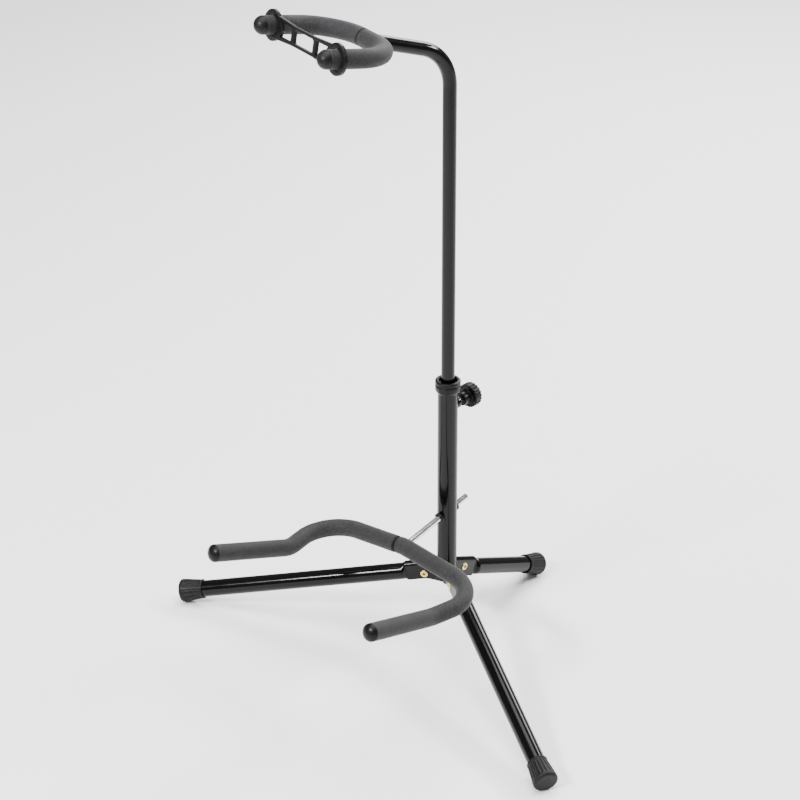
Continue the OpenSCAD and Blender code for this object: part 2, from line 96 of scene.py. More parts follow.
# How the pieces are meshed, with lengths in millimetres
STEP = 0.7
LEG_POINTS, SQUEEZE_STEPS = 64, 12
CHANNEL_STATIONS, TUBE_STATIONS = (18, 26, 34, 42, 48), (80, 120, 160)
CUTTER_HALF_L, CUTTER_POINTS, LEAST_LEG_VERTS = 12.0, 48, 500
FOOT_FIT = 0.02
POINTS_A_FOOT_FLUTE, POINTS_A_KNOB_FLUTE = 14, 12
# A visible piece may stand this far outside its CAD node, in metres
SLACK = 0.0012
# CAD pieces are welded at this distance in metres, and flattened and shaded at these degrees
WELD, FLAT_ANGLE, SHARP_ANGLE, LEG_SHARP_ANGLE = 2e-6, 1.0, 50, 40
# The foam's cells in a metre, to which its grain and specks are scaled
CELL_DENSITY = 900

# Each light: azimuth from the front and height in degrees, distance and panel in metres,
# and power as a share of the key's
LIGHTS = {
    "key": (-4, 38, 3.2, (0.9, 0.3), 1.0),
    "left": (-163, 32, 3.2, (2.0, 1.0), 0.7),
    "right": (150, 30, 3.2, (1.0, 0.4), 0.5),
    "top": (0, 88, 3.4, (3.2, 3.2), 1.7),
}
FLOOR_HALF, FLOOR_COLOUR, FLOOR_ROUGHNESS = 60.0, (0.92, 0.92, 0.92, 1), 0.75
SENSOR, CLIP_START, CLIP_END = 36, 0.05, 200

_low, _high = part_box("lower_tube")
AXIS_Y = (_low.y + _high.y) / 2
PLACED = Matrix.Translation((0, AXIS_Y, 0))
HEAD = PLACED @ Matrix.Rotation(math.radians(HEAD_TURN), 4, "Z")


# ---------- settings ----------

class StandFoamSettings(bpy.types.PropertyGroup):
    swell: bpy.props.FloatProperty(
        name="Swell", description="Height of the foam's slow unevenness", default=0.00035,
        min=0, max=0.002, unit="LENGTH", precision=5)
    edge: bpy.props.FloatProperty(
        name="End Radius", description="Radius of a sleeve's end edge", default=0.0016,
        min=0.0002, max=0.004, unit="LENGTH", precision=4)
    cell: bpy.props.FloatProperty(
        name="Cell Density", description="Foam cells in a metre", default=CELL_DENSITY, min=100,
        max=3000)
    colour: bpy.props.FloatVectorProperty(
        name="Foam Colour", description="Colour of the foam sleeves", subtype="COLOR",
        default=(0.0085, 0.0085, 0.0092), min=0, max=1)


class StandCoatSettings(bpy.types.PropertyGroup):
    colour: bpy.props.FloatVectorProperty(
        name="Coat Colour", description="Colour of the powder coat", subtype="COLOR",
        default=(0.0015, 0.0015, 0.0016), min=0, max=1)
    roughness: bpy.props.FloatProperty(
        name="Coat Roughness", description="Roughness of the powder coat", subtype="FACTOR",
        default=0.13, min=0, max=1)
    rubber: bpy.props.FloatVectorProperty(
        name="Rubber Colour", description="Colour of the rubber feet and caps", subtype="COLOR",
        default=(0.0035, 0.0035, 0.0037), min=0, max=1)


class StandStageSettings(bpy.types.PropertyGroup):
    azimuth: bpy.props.FloatProperty(
        name="Azimuth", description="Camera's angle round the stand, from the front",
        default=math.radians(42.1), unit="ROTATION")
    elevation: bpy.props.FloatProperty(
        name="Elevation", description="Camera's angle above the level", default=math.radians(28.2),
        unit="ROTATION")
    distance: bpy.props.FloatProperty(
        name="Distance", description="From the camera to the point it looks at", default=2.849,
        min=0.5, unit="LENGTH")
    target: bpy.props.FloatVectorProperty(
        name="Target", description="Point that the camera looks at", subtype="TRANSLATION",
        default=(-0.0597, AXIS_Y - 0.0224, 0.330), unit="LENGTH")
    roll: bpy.props.FloatProperty(
        name="Roll", description="Turn of the camera about its own line of sight",
        default=math.radians(-0.27), unit="ROTATION")
    lens: bpy.props.FloatProperty(
        name="Lens", description="Focal length on a 36 mm sensor", default=102.4, min=20,
        unit="CAMERA")
    key: bpy.props.FloatProperty(
        name="Key Power", description="Power of the key light", default=150, min=0, unit="POWER")
    world: bpy.props.FloatProperty(
        name="World Strength", description="Strength of the white surroundings", default=0.35,
        min=0)


# ---------- geometry helpers ----------

def link_object(name, mesh):
    ob = bpy.data.objects.new(name, mesh)
    bpy.context.scene.collection.objects.link(ob)
    return ob


def mesh_object(name, verts, faces, smooth=True):
    mesh = bpy.data.meshes.new(name)
    mesh.from_pydata([tuple(v) for v in verts], [], faces)
    mesh.validate()
    ob = link_object(name, mesh)
    recalculate(ob)
    if smooth:
        mesh.shade_smooth()
    return ob


def recalculate(ob):
    bm = bmesh.new()
    bm.from_mesh(ob.data)
    bmesh.ops.recalc_face_normals(bm, faces=bm.faces)
    bm.to_mesh(ob.data)
    bm.free()


def rounded(corners, steps=5):
    """A 2-D outline whose corners (x, y, radius) are rounded."""
    out = []
    count = len(corners)
    for i, (x, y, r) in enumerate(corners):
        p = Vector((x, y))
        if r <= 0 or i == 0 or i == count - 1:
            out.append(p)
            continue
        a = (Vector(corners[i - 1][:2]) - p).normalized()
        b = (Vector(corners[i + 1][:2]) - p).normalized()
        half = math.acos(max(-1, min(1, a.dot(b)))) / 2
        reach = r / math.tan(half)
        centre = p + (a + b).normalized() * (r / math.sin(half))
        start, end = p + a * reach - centre, p + b * reach - centre
        turn = start.angle_signed(end)
        for k in range(steps + 1):
            v = start.copy()
            v.rotate(Matrix.Rotation(-turn * k / steps, 2))
            out.append(centre + v)
    return out


def lathe(name, outline, segments):
    """A solid turned about +Z. The outline runs from the axis to the axis, (radius, height)."""
    verts, faces, rows = [], [], []
    for r, z in outline:
        if r < 1e-9:
            rows.append([len(verts)])
            verts.append((0, 0, z))
        else:
            rows.append(list(range(len(verts), len(verts) + segments)))
            for i in range(segments):
                a = 2 * math.pi * i / segments
                verts.append((r * math.cos(a), r * math.sin(a), z))
    for a, b in zip(rows, rows[1:]):
        for i in range(segments):
            j = (i + 1) % segments
            if len(a) == 1 and len(b) == 1:
                continue
            if len(a) == 1:
                faces.append((a[0], b[j], b[i]))
            elif len(b) == 1:
                faces.append((a[i], a[j], b[0]))
            else:
                faces.append((a[i], a[j], b[j], b[i]))
    return mesh_object(name, verts, faces)


def moved(ob, matrix):
    """Moves a piece's mesh, so that its object stays at the origin."""
    ob.data.transform(matrix)
    ob.data.update()
    return ob


def inside(ob, node):
    """Stops the script if a piece stands outside the CAD node that it replaces."""
    low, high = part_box(node)
    co = [v.co for v in ob.data.vertices]
    for k in range(3):
        if min(c[k] for c in co) < low[k] - SLACK or max(c[k] for c in co) > high[k] + SLACK:
            raise RuntimeError(f"{ob.name} is outside {node} along {'XYZ'[k]}")


def take_place(ob, node):
    """A detailed piece rides with a CAD node's body, and stands for that node."""
    inside(ob, node)
    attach(ob, NODES[node]["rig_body"])
    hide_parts(node)
    return ob


def bake(ob, name):
    """Turns an object with modifiers into a plain mesh piece."""
    graph = bpy.context.evaluated_depsgraph_get()
    mesh = bpy.data.meshes.new_from_object(ob.evaluated_get(graph), depsgraph=graph)
    mesh.name = name
    bpy.data.objects.remove(ob)
    return link_object(name, mesh)


def sharpen(ob, degrees):
    ob.data.set_sharp_from_angle(angle=math.radians(degrees))
    return ob


# ---------- node tree helpers ----------

class Tree:
    """A short way to write a node tree."""

    def __init__(self, name, kind, inputs, outputs):
        self.tree = bpy.data.node_groups.new(name, kind)
        for title, socket, value in inputs:
            made = self.tree.interface.new_socket(title, in_out="INPUT", socket_type=socket)
            if value is not None:
                made.default_value = value
        for title, socket in outputs:
            self.tree.interface.new_socket(title, in_out="OUTPUT", socket_type=socket)
        self.start = self.tree.nodes.new("NodeGroupInput").outputs
        self.end = self.tree.nodes.new("NodeGroupOutput").inputs

    def node(self, kind, values=(), **settings):
        return add_node(self.tree, kind, values, **settings)

    def math(self, operation, *values, clamp=False):
        n = self.node("ShaderNodeMath", enumerate(values), operation=operation, use_clamp=clamp)
        return n.outputs[0]

    def put(self, title, socket):
        self.tree.links.new(socket, self.end[title])


def add_node(tree, kind, values=(), **settings):
    """Adds a node. Values are pairs or a dictionary of socket and value or output."""
    n = tree.nodes.new(kind)
    for key, value in settings.items():
        setattr(n, key, value)
    for key, value in (values.items() if isinstance(values, dict) else values):
        if isinstance(value, bpy.types.NodeSocket):
            tree.links.new(value, n.inputs[key])
        else:
            n.inputs[key].default_value = value
    return n


def grow(ob, tree, name, values):
    """Runs a geometry tree on an object and turns the result into a plain mesh piece."""
    modifier = ob.modifiers.new("Shape", "NODES")
    modifier.node_group = tree.tree
    sockets = {s.name: s.identifier for s in tree.tree.interface.items_tree if s.in_out == "INPUT"}
    for title, value in values.items():
        modifier[sockets[title]] = value
    return bake(ob, name)


def sleeve_tree():
    """A foam sleeve: a round tube along a path with rounded bends and rounded end edges."""
    t = Tree("Foam Sleeve", "GeometryNodeTree",
             [("Path", "NodeSocketGeometry", None), ("Radius", "NodeSocketFloat", 0.011),
              ("Bore", "NodeSocketFloat", 0.004), ("Bend Radius", "NodeSocketFloat", 0.046),
              ("End Radius", "NodeSocketFloat", 0.0016), ("Rings", "NodeSocketInt", 300),
              ("Sides", "NodeSocketInt", 56), ("Swell", "NodeSocketFloat", 0.0003),
              ("Swell Density", "NodeSocketFloat", 38.0), ("Seed", "NodeSocketInt", 0),
              ("Material", "NodeSocketMaterial", None)],
             [("Geometry", "NodeSocketGeometry")])
    s = t.start
    line = t.node("GeometryNodeMeshToCurve", [("Mesh", s["Path"])])
    soft = t.node("GeometryNodeFilletCurve",
                  [("Curve", line.outputs[0]), ("Count", 40), ("Radius", s["Bend Radius"]),
                   ("Limit Radius", True)], mode="POLY")
    length = t.node("GeometryNodeCurveLength", [("Curve", soft.outputs[0])]).outputs[0]
    rings = t.node("GeometryNodeResampleCurve",
                   [("Curve", soft.outputs[0]), ("Count", s["Rings"])], mode="COUNT")
    share = t.node("GeometryNodeSplineParameter").outputs["Factor"]
    # rings crowd together at both ends, where the edge is rounded
    wave = t.math("DIVIDE", t.math("SINE", t.math("MULTIPLY", share, 2 * math.pi)), 2 * math.pi)
    eased = t.math("SUBTRACT", share, t.math("MULTIPLY", wave, 0.985))
    spot = t.node("GeometryNodeSampleCurve",
                  [("Curves", soft.outputs[0]), ("Length", t.math("MULTIPLY", eased, length))],
                  mode="LENGTH")
    crowded = t.node("GeometryNodeSetPosition",
                     [("Geometry", rings.outputs[0]), ("Position", spot.outputs["Position"])])
    along = t.node("GeometryNodeSplineParameter").outputs["Length"]
    total = t.node("GeometryNodeSplineLength").outputs["Length"]
    from_end = t.math("MINIMUM", along, t.math("SUBTRACT", total, along))
    lack = t.math("MAXIMUM", t.math("SUBTRACT", s["End Radius"], from_end), 0.0)
    rise = t.math("SQRT", t.math("MAXIMUM", t.math(
        "SUBTRACT", t.math("MULTIPLY", s["End Radius"], s["End Radius"]),
        t.math("MULTIPLY", lack, lack)), 0.0))
    full = t.math("ADD", t.math("SUBTRACT", s["Radius"], s["End Radius"]), rise)
    at_end = t.math("LESS_THAN", from_end, 1e-6)
    radius = t.math("ADD", t.math("MULTIPLY", at_end, s["Bore"]),
                    t.math("MULTIPLY", t.math("SUBTRACT", 1.0, at_end), full))
    ring = t.node("GeometryNodeCurvePrimitiveCircle", [("Resolution", s["Sides"]), ("Radius", 1.0)])
    skin = t.node("GeometryNodeCurveToMesh",
                  [("Curve", crowded.outputs[0]), ("Profile Curve", ring.outputs[0]),
                   ("Scale", radius), ("Fill Caps", True)])
    noise = t.node("ShaderNodeTexNoise",
                   [("Vector", t.node("GeometryNodeInputPosition").outputs[0]),
                    ("W", t.math("MULTIPLY", s["Seed"], 7.3)), ("Scale", s["Swell Density"]),
                    ("Detail", 2.0)], noise_dimensions="4D")
    lift = t.math("MULTIPLY", t.math("SUBTRACT", noise.outputs[0], 0.5), s["Swell"])
    offset = t.node("ShaderNodeVectorMath",
                    [(0, t.node("GeometryNodeInputNormal").outputs[0]), ("Scale", lift)],
                    operation="SCALE")
    uneven = t.node("GeometryNodeSetPosition",
                    [("Geometry", skin.outputs[0]), ("Offset", offset.outputs[0])])
    smooth = t.node("GeometryNodeSetShadeSmooth", [("Geometry", uneven.outputs[0])])
    real = t.node("GeometryNodeRealizeInstances", [("Geometry", smooth.outputs[0])])
    done = t.node("GeometryNodeSetMaterial",
                  [("Geometry", real.outputs[0]), ("Material", s["Material"])])
    t.put("Geometry", done.outputs[0])
    return t


def flute_tree():
    """Presses a ring of grooves into the side of a piece turned about +Z."""
    t = Tree("Ring of Flutes", "GeometryNodeTree",
             [("Piece", "NodeSocketGeometry", None), ("Count", "NodeSocketInt", 18),
              ("Depth", "NodeSocketFloat", 0.001), ("Low", "NodeSocketFloat", 0.0),
              ("High", "NodeSocketFloat", 0.01), ("Run Out", "NodeSocketFloat", 0.001),
              ("Inner Radius", "NodeSocketFloat", 0.012), ("Land", "NodeSocketFloat", 0.35),
              ("Material", "NodeSocketMaterial", None)],
             [("Geometry", "NodeSocketGeometry")])
    s = t.start
    place = t.node("ShaderNodeSeparateXYZ",
                   [(0, t.node("GeometryNodeInputPosition").outputs[0])]).outputs
    angle = t.math("ARCTAN2", place["Y"], place["X"])
    wave = t.math("ADD", t.math("MULTIPLY", t.math(
        "COSINE", t.math("MULTIPLY", angle, s["Count"])), 0.5), 0.5)

    def ramp(value, low, high):
        return t.node("ShaderNodeMapRange",
                      [("Value", value), ("From Min", low), ("From Max", high)],
                      interpolation_type="SMOOTHSTEP").outputs[0]

    groove = ramp(wave, s["Land"], 1.0)
    above = ramp(place["Z"], s["Low"], t.math("ADD", s["Low"], s["Run Out"]))
    below = ramp(place["Z"], s["High"], t.math("SUBTRACT", s["High"], s["Run Out"]))
    radius = t.math("SQRT", t.math("ADD", t.math("MULTIPLY", place["X"], place["X"]),
                                   t.math("MULTIPLY", place["Y"], place["Y"])))
    outer = t.math("GREATER_THAN", radius, s["Inner Radius"])
    press = t.math("MULTIPLY", t.math("MULTIPLY", groove, t.math("MULTIPLY", above, below)),
                   t.math("MULTIPLY", outer, s["Depth"]))
    share = t.math("DIVIDE", t.math("MULTIPLY", press, -1.0), t.math("MAXIMUM", radius, 1e-6))
    offset = t.node("ShaderNodeCombineXYZ",
                    [("X", t.math("MULTIPLY", place["X"], share)),
                     ("Y", t.math("MULTIPLY", place["Y"], share))])
    cut = t.node("GeometryNodeSetPosition",
                 [("Geometry", s["Piece"]), ("Offset", offset.outputs[0])])
    real = t.node("GeometryNodeRealizeInstances", [("Geometry", cut.outputs[0])])
    done = t.node("GeometryNodeSetMaterial",
                  [("Geometry", real.outputs[0]), ("Material", s["Material"])])
    t.put("Geometry", done.outputs[0])
    return t


# ---------- materials ----------

def variation_group():
    """Slow change of colour and gloss over a surface, with fine specks on top."""
    t = Tree("Surface Variation", "ShaderNodeTree",
             [("Low Colour", "NodeSocketColor", (0.01, 0.01, 0.01, 1)),
              ("High Colour", "NodeSocketColor", (0.02, 0.02, 0.02, 1)),
              ("Speck Colour", "NodeSocketColor", (0.1, 0.1, 0.1, 1)),
              ("Scale", "NodeSocketFloat", 40.0), ("Speck Scale", "NodeSocketFloat", 900.0),
              ("Speck Amount", "NodeSocketFloat", 0.0), ("Gloss", "NodeSocketFloat", 0.3),
              ("Gloss Change", "NodeSocketFloat", 0.08)],
             [("Color", "NodeSocketColor"), ("Roughness", "NodeSocketFloat")])
    s = t.start
    where = t.node("ShaderNodeTexCoord").outputs["Object"]
    slow = t.node("ShaderNodeTexNoise",
                  [("Vector", where), ("Scale", s["Scale"]), ("Detail", 4.0)]).outputs[0]
    base = t.node("ShaderNodeMix", [("Factor", slow), (6, s["Low Colour"]), (7, s["High Colour"])],
                  data_type="RGBA").outputs[2]
    fine = t.node("ShaderNodeTexNoise",
                  [("Vector", where), ("Scale", s["Speck Scale"]), ("Detail", 2.0)]).outputs[0]
    speck = t.node("ShaderNodeMapRange",
                   [("Value", fine), ("From Min", 0.52), ("From Max", 0.72),
                    ("To Max", s["Speck Amount"])]).outputs[0]
    mixed = t.node("ShaderNodeMix", [("Factor", speck), (6, base), (7, s["Speck Colour"])],
                   data_type="RGBA").outputs[2]
    t.put("Color", mixed)
    t.put("Roughness", t.math("ADD", s["Gloss"], t.math(
        "MULTIPLY", t.math("SUBTRACT", slow, 0.5), s["Gloss Change"]), clamp=True))
    return t.tree


def grain_group():
    """Fine relief: a fine grain and a coarser one, as a height."""
    t = Tree("Surface Grain", "ShaderNodeTree",
             [("Fine Scale", "NodeSocketFloat", 900.0), ("Coarse Scale", "NodeSocketFloat", 200.0),
              ("Coarse Share", "NodeSocketFloat", 0.3), ("Cells", "NodeSocketFloat", 0.0)],
             [("Height", "NodeSocketFloat")])
    s = t.start
    where = t.node("ShaderNodeTexCoord").outputs["Object"]
    fine = t.node("ShaderNodeTexNoise",
                  [("Vector", where), ("Scale", s["Fine Scale"]), ("Detail", 3.0)]).outputs[0]
    coarse = t.node("ShaderNodeTexNoise",
                    [("Vector", where), ("Scale", s["Coarse Scale"]), ("Detail", 2.0)]).outputs[0]
    cells = t.node("ShaderNodeTexVoronoi",
                   [("Vector", where), ("Scale", s["Fine Scale"])]).outputs["Distance"]
    grain = t.node("ShaderNodeMix",
                   [("Factor", s["Coarse Share"]), ("A", fine), ("B", coarse)]).outputs[0]
    t.put("Height", t.node("ShaderNodeMix",
                           [("Factor", s["Cells"]), ("A", grain), ("B", cells)]).outputs[0])
    return t.tree


def wear_group():
    """Faint rub marks that run round and along a tube, as a mask."""
    t = Tree("Rub Marks", "ShaderNodeTree",
             [("Scale", "NodeSocketFloat", 30.0), ("Stretch", "NodeSocketVector", (1, 1, 9)),
              ("Amount", "NodeSocketFloat", 0.3)],
             [("Mask", "NodeSocketFloat")])
    s = t.start
    where = t.node("ShaderNodeTexCoord").outputs["Object"]
    pulled = t.node("ShaderNodeVectorMath", [(0, where), (1, s["Stretch"])],
                    operation="MULTIPLY").outputs[0]
    marks = t.node("ShaderNodeTexNoise",
                   [("Vector", pulled), ("Scale", s["Scale"]), ("Detail", 6.0),
                    ("Roughness", 0.7)]).outputs[0]
    t.put("Mask", t.node("ShaderNodeMapRange",
                         [("Value", marks), ("From Min", 0.55), ("From Max", 0.8),
                          ("To Max", s["Amount"])]).outputs[0])
    return t.tree


# Each slot: speck (colour, scale, amount), gloss's change either way, grain (fine, coarse,
# coarse share, cells, bump height in mm), rub amount, and the shader's fixed values
PLAIN = (0.0, 0.0, 0.0)
LOOKS = {
    "black_coat": dict(
        speck=(PLAIN, 900, 0.0), gloss=0.05, grain=(900, 260, 0.45, 0.0, 0.004), rub=0.05,
        fixed={"Specular IOR Level": 0.2}),
    "foam": dict(
        speck=((0.07, 0.07, 0.074), 1150, 0.6), gloss=0.10, grain=(1100, 420, 0.35, 0.35, 0.11),
        rub=0.0, fixed={"Specular IOR Level": 0.25, "Sheen Weight": 0.06, "Sheen Roughness": 0.5}),
    "foot_rubber": dict(
        speck=((0.05, 0.05, 0.05), 700, 0.3), gloss=0.10, grain=(800, 240, 0.4, 0.0, 0.03),
        rub=0.25, fixed={"Specular IOR Level": 0.16}),
    "black_plastic": dict(
        speck=((0.04, 0.04, 0.04), 900, 0.15), gloss=0.07, grain=(1200, 300, 0.3, 0.0, 0.014),
        rub=0.12, fixed={"Specular IOR Level": 0.14}),
    "strap_rubber": dict(
        speck=((0.05, 0.05, 0.05), 900, 0.2), gloss=0.08, grain=(900, 260, 0.4, 0.0, 0.016),
        rub=0.15, fixed={"Specular IOR Level": 0.16}),
    "chrome": dict(
        speck=(PLAIN, 900, 0.0), gloss=0.05, grain=(700, 160, 0.5, 0.0, 0.002), rub=0.06,
        fixed={"Metallic": 1.0}),
    "zinc_steel": dict(
        speck=((0.35, 0.35, 0.36), 900, 0.4), gloss=0.10, grain=(1100, 200, 0.3, 0.0, 0.006),
        rub=0.2, fixed={"Metallic": 1.0}),
    "brass": dict(
        speck=((0.35, 0.25, 0.1), 900, 0.4), gloss=0.10, grain=(900, 200, 0.3, 0.0, 0.006),
        rub=0.15, fixed={"Metallic": 1.0}),
    "natural_nylon": dict(
        speck=((0.6, 0.57, 0.5), 600, 0.3), gloss=0.08, grain=(900, 200, 0.3, 0.0, 0.01),
        rub=0.0, fixed={"Specular IOR Level": 0.45, "Subsurface Weight": 0.05}),
}
LOOKS["cap_rubber"] = LOOKS["foot_rubber"]
SLOT_OF = {s["node"]: s["material_slot"] for s in frame["record"]["subparts"]}


def scaled(colour, share):
    return tuple(c * share for c in colour[:3]) + (1.0,)


def slot_colours(context):
    """Each slot's middle colour and its roughness."""
    foam, coat = context.scene.stand_foam, context.scene.stand_coat
    return {
        "black_coat": (tuple(coat.colour), coat.roughness),
        "foam": (tuple(foam.colour), 0.72),
        "foot_rubber": (tuple(coat.rubber), 0.46),
        "cap_rubber": (scaled(coat.rubber, 1.1), 0.40),
        "strap_rubber": (scaled(coat.rubber, 1.1), 0.34),
        "black_plastic": (scaled(coat.rubber, 1.0), 0.33),
        "chrome": ((0.74, 0.75, 0.77), 0.09),
        "zinc_steel": ((0.62, 0.63, 0.66), 0.24),
        "brass": ((0.68, 0.51, 0.22), 0.25),
        "natural_nylon": ((0.78, 0.75, 0.68), 0.42),
    }


def make_material(slot, colour, roughness, groups, density):
    """A slot's material: its colour with variation, grain and rub marks."""
    look = LOOKS[slot]
    m = bpy.data.materials.new("stand_" + slot)
    m.use_nodes = True
    tree = m.node_tree
    shader = tree.nodes["Principled BSDF"]
    speck_colour, speck_scale, speck_amount = look["speck"]
    fine, coarse, coarse_share, cells, height = look["grain"]
    if slot == "foam":
        speck_scale, fine = speck_scale * density / CELL_DENSITY, fine * density / CELL_DENSITY
    vary = add_node(tree, "ShaderNodeGroup", {
        "Low Colour": scaled(colour, 0.82), "High Colour": scaled(colour, 1.18),
        "Speck Colour": scaled(speck_colour, 1), "Scale": 45.0, "Speck Scale": speck_scale,
        "Speck Amount": speck_amount, "Gloss": roughness,
        "Gloss Change": look["gloss"] * 2}, node_tree=groups["vary"])
    grain = add_node(tree, "ShaderNodeGroup", {
        "Fine Scale": fine, "Coarse Scale": coarse, "Coarse Share": coarse_share,
        "Cells": cells}, node_tree=groups["grain"])
    wear = add_node(tree, "ShaderNodeGroup", {"Amount": look["rub"]}, node_tree=groups["wear"])
    rough = add_node(tree, "ShaderNodeMath",
                     [(0, vary.outputs["Roughness"]), (1, wear.outputs["Mask"])],
                     operation="ADD", use_clamp=True)
    bump = add_node(tree, "ShaderNodeBump",
                    [("Height", grain.outputs["Height"]), ("Distance", height * MM),
                     ("Strength", 1.0)])
    tree.links.new(vary.outputs["Color"], shader.inputs["Base Color"])
    tree.links.new(rough.outputs[0], shader.inputs["Roughness"])
    tree.links.new(bump.outputs[0], shader.inputs["Normal"])
    for title, value in look["fixed"].items():
        shader.inputs[title].default_value = value
    return m


def finish(slot):
    """The material of a slot. The imported CAD file has plain ones under the bare names."""
    return bpy.data.materials["stand_" + slot]


def paint(ob, material):
    """Gives every part of a piece the same material."""
    if not ob.material_slots:
        ob.data.materials.append(material)
    for s in ob.material_slots:
        s.material = material


# ---------- operators ----------

class STAND_OT_finishes(bpy.types.Operator):
    """Make the materials and give each CAD piece its own"""

    bl_idname = "stand.finishes"
    bl_label = "Materials"

    def execute(self, context):
        groups = {"vary": variation_group(), "grain": grain_group(), "wear": wear_group()}
        density = context.scene.stand_foam.cell
        for slot, (colour, roughness) in slot_colours(context).items():
            make_material(slot, colour, roughness, groups, density)
        for node, ob in NODES.items():
            paint(ob, finish(SLOT_OF[node]))
        return {"FINISHED"}


def sleeve_path(corners, matrix):
    """An edge path through the corners, ready for the sleeve's tree."""
    mesh = bpy.data.meshes.new("path")
    mesh.from_pydata([tuple(matrix @ (Vector(c) * MM)) for c in corners],
                     [(i, i + 1) for i in range(len(corners) - 1)], [])
    return link_object("path", mesh)


def at_x(a, b, x):
    """The point between corners a and b that has this x."""
    share = (x - a[0]) / (b[0] - a[0])
    return tuple(p + (q - p) * share for p, q in zip(a, b))


def yoke_corners():
    """The corners of the yoke's wire, from the tip of one arm to the tip of the other."""
    tilt = math.radians(YOKE_TILT)
    y, z = -YOKE_Y - YOKE_ARM_L * math.cos(tilt), YOKE_Z + YOKE_ARM_L * math.sin(tilt)
    return [(-YOKE_HALF_W, y, z), (-YOKE_HALF_W, -YOKE_Y, YOKE_Z),
            (YOKE_HALF_W, -YOKE_Y, YOKE_Z), (YOKE_HALF_W, y, z)]


class STAND_OT_sleeves(bpy.types.Operator):
    """Make the foam sleeves of the cradle and the yoke"""

    bl_idname = "stand.sleeves"
    bl_label = "Foam Sleeves"

    def execute(self, context):
        foam = context.scene.stand_foam
        tree = sleeve_tree()
        yoke = yoke_corners()
        sleeves = {
            "cradle_foam_left": (CRADLE[:3] + [at_x(CRADLE[2], CRADLE[3], CRADLE_GAP[0])], PLACED),
            "cradle_foam_right": ([at_x(CRADLE[2], CRADLE[3], CRADLE_GAP[1])] + CRADLE[3:], PLACED),
            "yoke_foam_left": (yoke[:2] + [at_x(yoke[1], yoke[2], YOKE_GAP[0])], HEAD),
            "yoke_foam_right": ([at_x(yoke[1], yoke[2], YOKE_GAP[1])] + yoke[2:], HEAD),
        }
        for seed, (node, (corners, matrix)) in enumerate(sleeves.items()):
            cradle = node.startswith("cradle")
            piece = grow(sleeve_path(corners, matrix), tree, "sleeve_" + node, {
                "Radius": (CRADLE_FOAM_D if cradle else YOKE_FOAM_D) / 2 * MM,
                "Bend Radius": (CRADLE_BEND_R if cradle else YOKE_BEND_R) * MM,
                "End Radius": foam.edge, "Swell": foam.swell, "Seed": seed,
                "Rings": 340 if cradle else 220, "Material": finish("foam")})
            recalculate(piece)
            take_place(piece, node)
        return {"FINISHED"}


def foot_axis_z(drop):
    """The height of a leg's axis at the foot's end, at a slope of the leg."""
    return FOOT_EDGE * (1 - math.sin(drop)) + (FOOT_D / 2 - FOOT_EDGE) * math.cos(drop)


def leg_drop(reach):
    """The slope at which a leg's foot rests on the floor."""
    drop = math.radians(12)
    for _ in range(8):
        drop = math.atan((LEG_MEET_Z - foot_axis_z(drop)) / reach)
    return drop


def leg_place(side):
    """A leg's length, slope and place. Its own +X runs out along it."""
    reach = REAR_REACH if side == "rear" else FRONT_REACH
    drop = leg_drop(reach)
    place = (PLACED @ Matrix.Rotation(math.radians(SIDES[side]), 4, "Z")
             @ Matrix.Translation((0, 0, LEG_MEET_Z * MM)) @ Matrix.Rotation(drop, 4, "Y"))
    return reach / math.cos(drop), drop, place


def channel_point(u, wall):
    """A point of the squeezed end's section, from its lower left edge over the top."""
    r = CHANNEL_W / 2 - wall
    side, top = CHANNEL_H - CHANNEL_W / 2, CHANNEL_H / 2 + CHANNEL_RISE - CHANNEL_W / 2
    arc = math.pi * CHANNEL_W / 2
    s = u * (2 * side + arc)
    if s < side:
        return -r, s - CHANNEL_H / 2 + CHANNEL_RISE
    if s > side + arc:
        return r, top - (s - side - arc)
    a = math.pi - (s - side) / (CHANNEL_W / 2)
    return r * math.cos(a), top + r * math.sin(a)


def tube_point(u, wall):
    """The same point of the round tube's section."""
    a = -math.pi / 2 - 2 * math.pi * u
    r = LEG_D / 2 - wall
    return r * math.cos(a), r * math.sin(a)


def leg_mesh(name, side):
    """A leg tube: an open channel at the hub, which widens into a round tube."""
    length, drop, place = leg_place(side)
    around, end = LEG_POINTS, length - FOOT_FLOOR
    # None is the end at the hub, which is cut to the hub's round post
    stations = [None, *CHANNEL_STATIONS, CHANNEL_END - 1]
    stations += [CHANNEL_END + SQUEEZE_L * k / SQUEEZE_STEPS for k in range(SQUEEZE_STEPS + 1)]
    stations += [CHANNEL_END + SQUEEZE_L + 2, *TUBE_STATIONS, end]
    stations = [x for x in stations if x is None or x <= end]
    verts, outer, inner = [], [], []
    for x in stations:
        share = 0 if x is None else min(1, max(0, (x - CHANNEL_END) / SQUEEZE_L))
        share = share * share * (3 - 2 * share)
        for wall, rows in ((0, outer), (LEG_WALL, inner)):
            row = []
            for i in range(around + 1):
                if i == around and share == 1:
                    row.append(row[0])
                    continue
                u = i / around
                a, b = channel_point(u, wall), tube_point(u, wall)
                y, z = a[0] + (b[0] - a[0]) * share, a[1] + (b[1] - a[1]) * share
                at = x
                if x is None:
                    flat = math.sqrt(HUB_CLEAR_R ** 2 - y * y)
                    at = (flat - z * math.sin(drop)) / math.cos(drop)
                row.append(len(verts))
                verts.append(Vector((at, y, z)) * MM)
            rows.append(row)
    faces = []
    for k in range(len(stations) - 1):
        for i in range(around):
            for rows in (outer, inner):
                faces.append((rows[k][i], rows[k][i + 1], rows[k + 1][i + 1], rows[k + 1][i]))
        if outer[k][0] != outer[k][around]:
            for i in (0, around):
                faces.append((outer[k][i], inner[k][i], inner[k + 1][i], outer[k + 1][i]))
    for k in (0, len(stations) - 1):
        for i in range(around):
            faces.append((outer[k][i], outer[k][i + 1], inner[k][i + 1], inner[k][i]))
    return moved(mesh_object(name, verts, faces), place)


